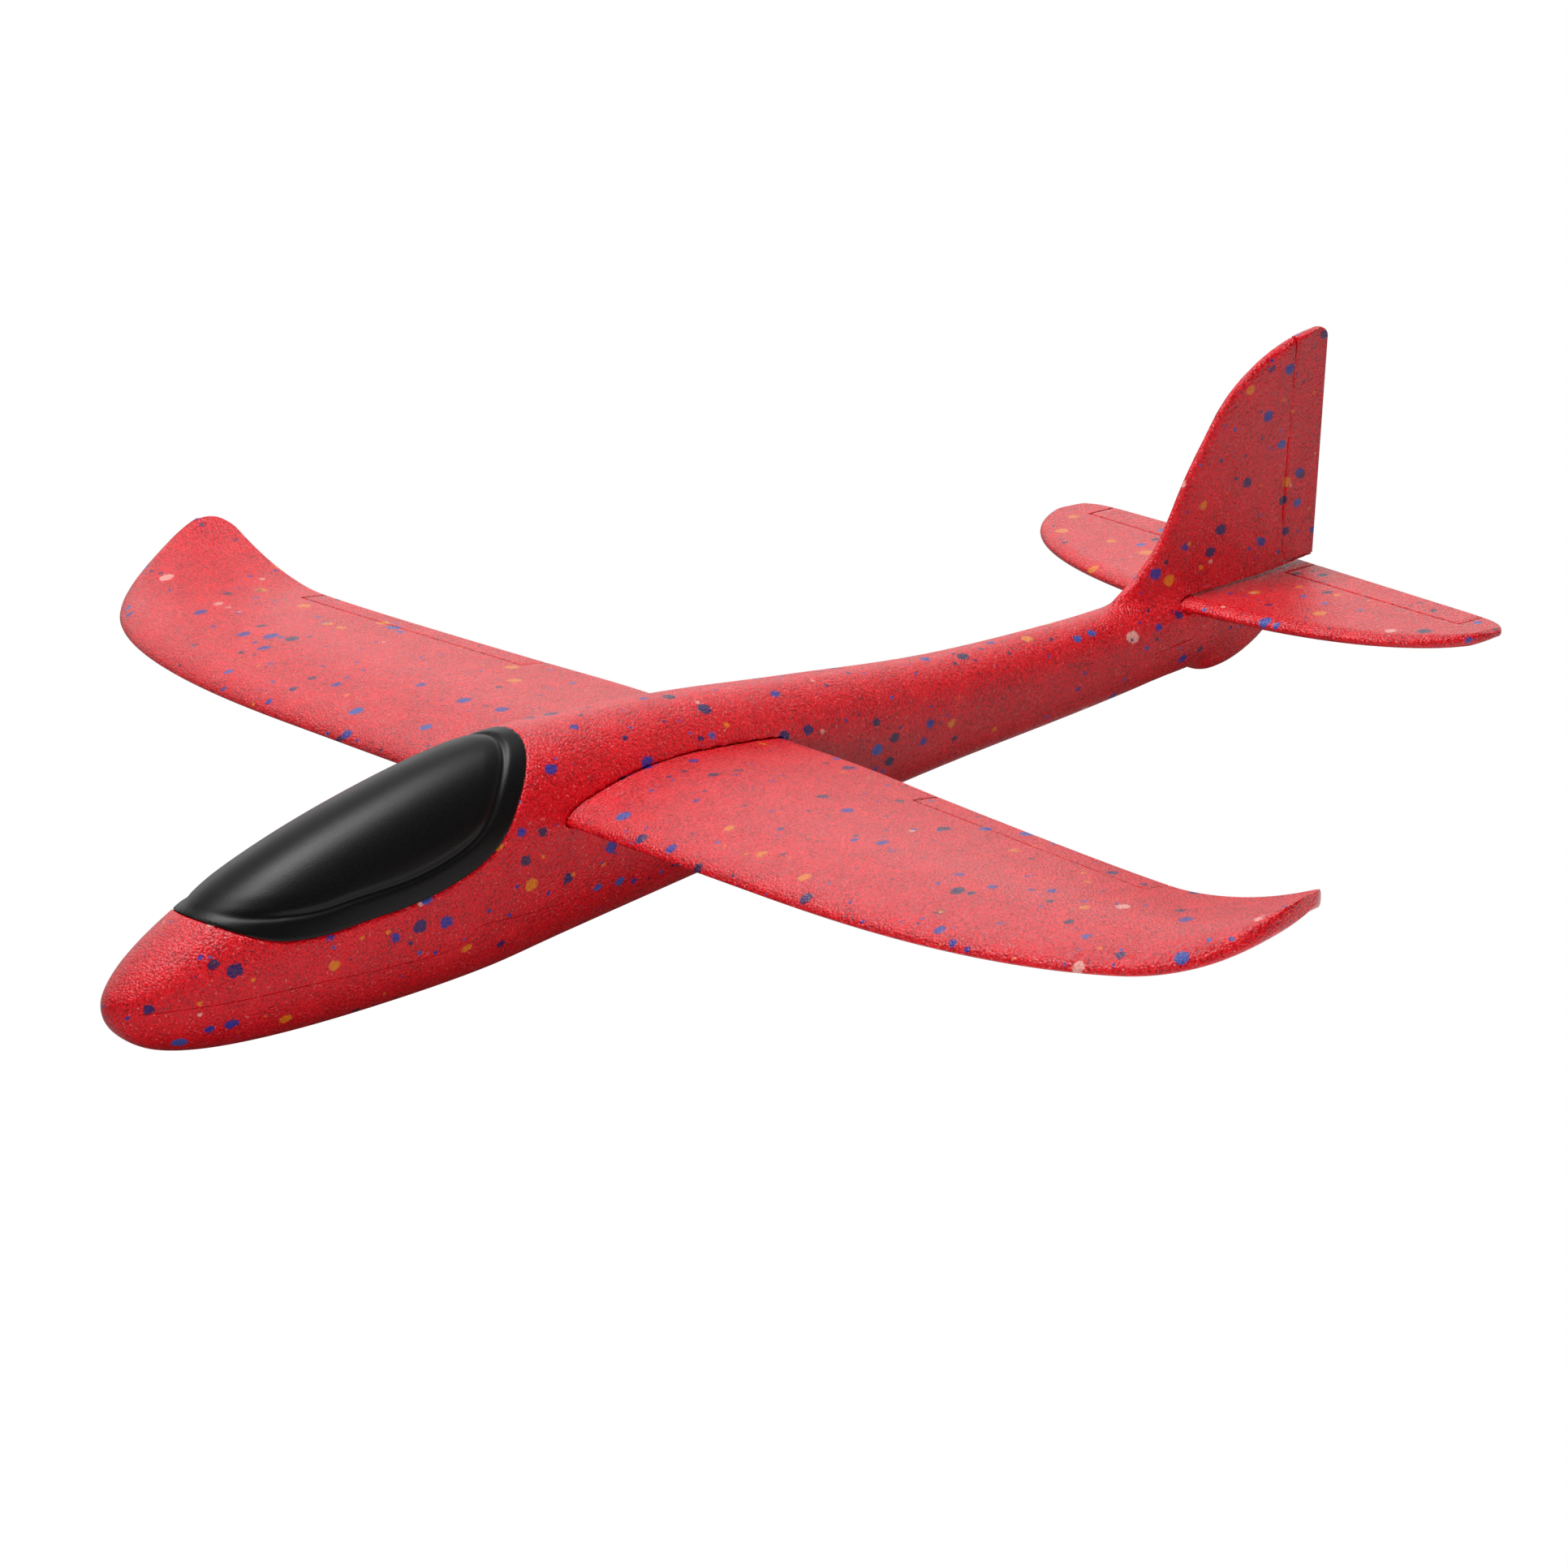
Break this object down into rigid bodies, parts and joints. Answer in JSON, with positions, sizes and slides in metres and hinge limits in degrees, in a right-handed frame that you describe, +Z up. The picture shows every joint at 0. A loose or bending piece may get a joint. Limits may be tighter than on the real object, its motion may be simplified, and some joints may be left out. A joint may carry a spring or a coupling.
{
  "type": "hand launch glider",
  "caption": "Moulded foam hand launch glider with a black canopy, a one-piece wing with upturned tips, a plug-in tailplane and scored flaps.",
  "frame": {"origin": "below the middle of the glider, level with the flat strip under its belly", "axes": "+Z up along the fin, -Y towards the nose, +X towards the left wing tip"},
  "size_m": [0.4798, 0.4875, 0.1253],
  "materials": {
    "foam": "satin",
    "canopy_plastic": "satin",
    "weight_steel": "satin"
  },
  "bodies": {
    "airframe": {"fuselage": "foam", "wing": "foam", "nose_weight": "weight_steel"},
    "canopy": {"canopy": "canopy_plastic"},
    "tailplane": {"tailplane": "foam"},
    "aileron_left": {"aileron_left": "foam"},
    "aileron_right": {"aileron_right": "foam"},
    "elevator_left": {"elevator_left": "foam"},
    "elevator_right": {"elevator_right": "foam"},
    "rudder": {"rudder": "foam"}
  },
  "joints": [
    {"name": "canopy_lift", "type": "slide", "parent": "airframe", "child": "canopy", "axis": [0, 0, 1], "range_m": [0, 0.05]},
    {"name": "tailplane_slide", "type": "slide", "parent": "airframe", "child": "tailplane", "axis": [0, 1, 0], "range_m": [0, 0.065]},
    {"name": "aileron_left_hinge", "type": "hinge", "parent": "airframe", "child": "aileron_left", "pos_m": [0.134, -0.01815, 0.04997], "axis": [0.9985, -0.054, -0.0002], "range_deg": [-20, 20]},
    {"name": "aileron_right_hinge", "type": "hinge", "parent": "airframe", "child": "aileron_right", "pos_m": [-0.134, -0.01815, 0.04997], "axis": [0.9985, 0.054, 0.0002], "range_deg": [-20, 20]},
    {"name": "elevator_left_hinge", "type": "hinge", "parent": "tailplane", "child": "elevator_left", "pos_m": [0.04325, 0.222, 0.05063], "axis": [1, 0, 0.0013], "range_deg": [-20, 20]},
    {"name": "elevator_right_hinge", "type": "hinge", "parent": "tailplane", "child": "elevator_right", "pos_m": [-0.04325, 0.222, 0.05063], "axis": [1, 0, -0.0013], "range_deg": [-20, 20]},
    {"name": "rudder_hinge", "type": "hinge", "parent": "airframe", "child": "rudder", "pos_m": [0, 0.228, 0.0895], "axis": [0, 0.0693, 0.9976], "range_deg": [-20, 20]}
  ]
}
